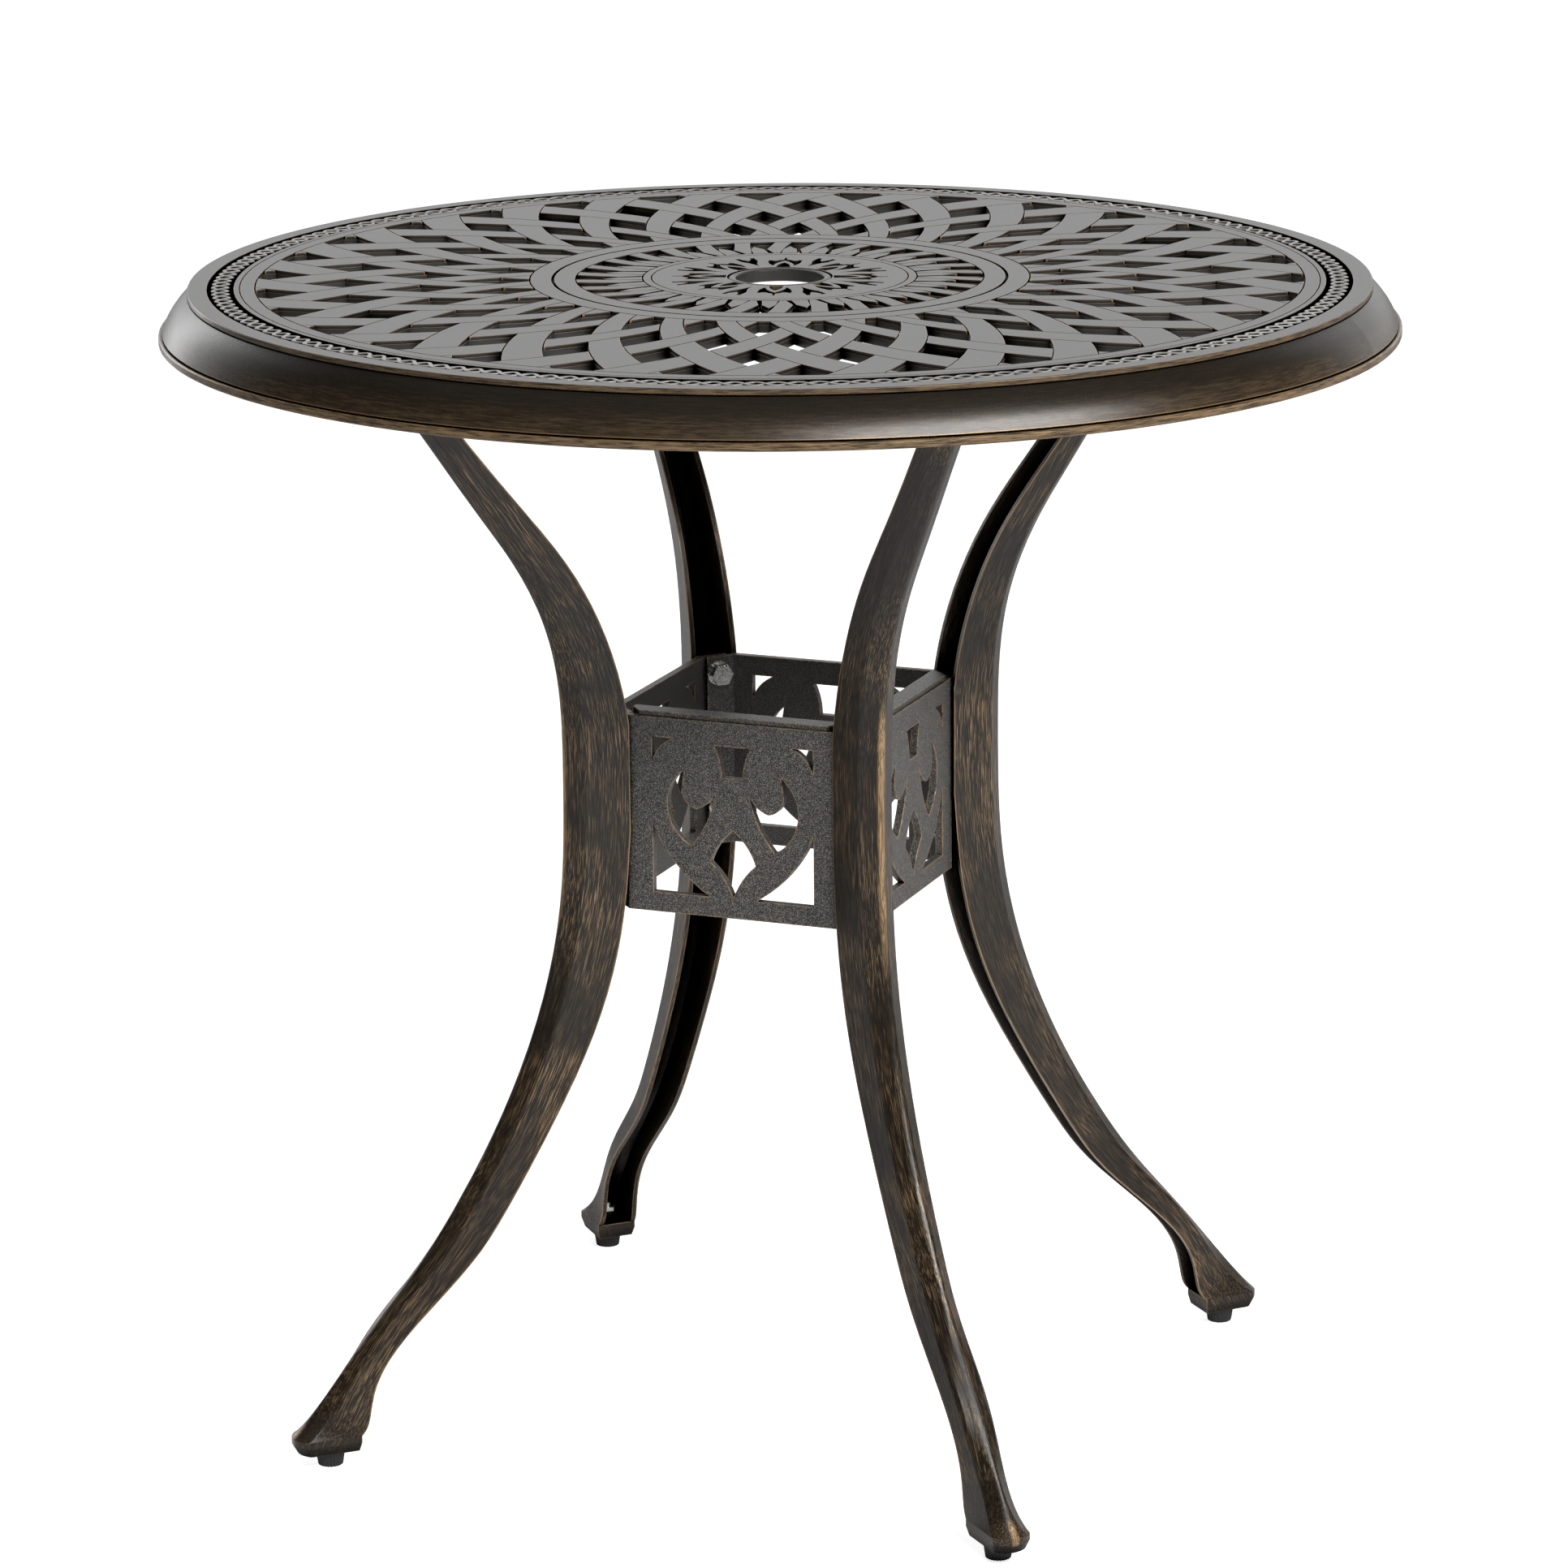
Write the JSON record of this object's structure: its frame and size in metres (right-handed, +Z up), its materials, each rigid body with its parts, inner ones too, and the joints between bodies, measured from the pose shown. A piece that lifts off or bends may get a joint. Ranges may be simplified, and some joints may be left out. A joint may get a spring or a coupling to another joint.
{
  "type": "umbrella table",
  "caption": "Round cast patio table with an umbrella hole, woven openwork top, bowed legs, a pierced brace box and levelling feet",
  "frame": {"origin": "on the floor, under the middle of the table", "axes": "+Z up, X and Y square to the faces of the brace box, so the legs stand on the diagonals"},
  "size_m": [0.7799, 0.78, 0.7433],
  "materials": {
    "top_casting": "antique bronze powder coat, satin, dark grey brown with worn golden edges",
    "leg_casting": "antique bronze powder coat, near black brown with brushed golden wear on the ridges",
    "panel_casting": "antique bronze powder coat, finely speckled with golden edges",
    "fastener": "bright zinc plate",
    "insert": "zinc plate",
    "nut": "bright zinc plate",
    "stud": "bright zinc plate",
    "glide": "black moulded nylon"
  },
  "bodies": {
    "table_frame": {"tabletop": "top_casting", "leg_rear_right": "leg_casting", "leg_rear_left": "leg_casting", "leg_front_left": "leg_casting", "leg_front_right": "leg_casting", "brace_panel_front": "panel_casting", "brace_panel_right": "panel_casting", "brace_panel_rear": "panel_casting", "brace_panel_left": "panel_casting", "brace_bolts": "fastener", "brace_flat_washers": "fastener", "brace_spring_washers": "fastener", "top_bolts": "fastener", "top_flat_washers": "fastener", "top_spring_washers": "fastener", "foot_inserts": "insert", "foot_lock_nuts": "nut"},
    "leveller_stud_rear_right": {"leveller_stud_rear_right": "stud"},
    "glide_pad_rear_right": {"glide_pad_rear_right": "glide"},
    "leveller_stud_rear_left": {"leveller_stud_rear_left": "stud"},
    "glide_pad_rear_left": {"glide_pad_rear_left": "glide"},
    "leveller_stud_front_left": {"leveller_stud_front_left": "stud"},
    "glide_pad_front_left": {"glide_pad_front_left": "glide"},
    "leveller_stud_front_right": {"leveller_stud_front_right": "stud"},
    "glide_pad_front_right": {"glide_pad_front_right": "glide"}
  },
  "joints": [
    {"name": "leveller_travel_rear_right", "type": "slide", "parent": "table_frame", "child": "leveller_stud_rear_right", "axis": [0, 0, -1], "range_m": [0, 0.006]},
    {"name": "glide_spin_rear_right", "type": "hinge", "parent": "leveller_stud_rear_right", "child": "glide_pad_rear_right", "pos_m": [0.22627, 0.22627, 0.01], "axis": [0, 0, -1], "range_deg": [0, 2160]},
    {"name": "leveller_travel_rear_left", "type": "slide", "parent": "table_frame", "child": "leveller_stud_rear_left", "axis": [0, 0, -1], "range_m": [0, 0.006]},
    {"name": "glide_spin_rear_left", "type": "hinge", "parent": "leveller_stud_rear_left", "child": "glide_pad_rear_left", "pos_m": [-0.22627, 0.22627, 0.01], "axis": [0, 0, -1], "range_deg": [0, 2160]},
    {"name": "leveller_travel_front_left", "type": "slide", "parent": "table_frame", "child": "leveller_stud_front_left", "axis": [0, 0, -1], "range_m": [0, 0.006]},
    {"name": "glide_spin_front_left", "type": "hinge", "parent": "leveller_stud_front_left", "child": "glide_pad_front_left", "pos_m": [-0.22627, -0.22627, 0.01], "axis": [0, 0, -1], "range_deg": [0, 2160]},
    {"name": "leveller_travel_front_right", "type": "slide", "parent": "table_frame", "child": "leveller_stud_front_right", "axis": [0, 0, -1], "range_m": [0, 0.006]},
    {"name": "glide_spin_front_right", "type": "hinge", "parent": "leveller_stud_front_right", "child": "glide_pad_front_right", "pos_m": [0.22627, -0.22627, 0.01], "axis": [0, 0, -1], "range_deg": [0, 2160]}
  ],
  "couplings": [
    {"joint": "glide_spin_rear_right", "follows": "leveller_travel_rear_right", "rad_per_m": 6283.2},
    {"joint": "glide_spin_rear_left", "follows": "leveller_travel_rear_left", "rad_per_m": 6283.2},
    {"joint": "glide_spin_front_left", "follows": "leveller_travel_front_left", "rad_per_m": 6283.2},
    {"joint": "glide_spin_front_right", "follows": "leveller_travel_front_right", "rad_per_m": 6283.2}
  ]
}
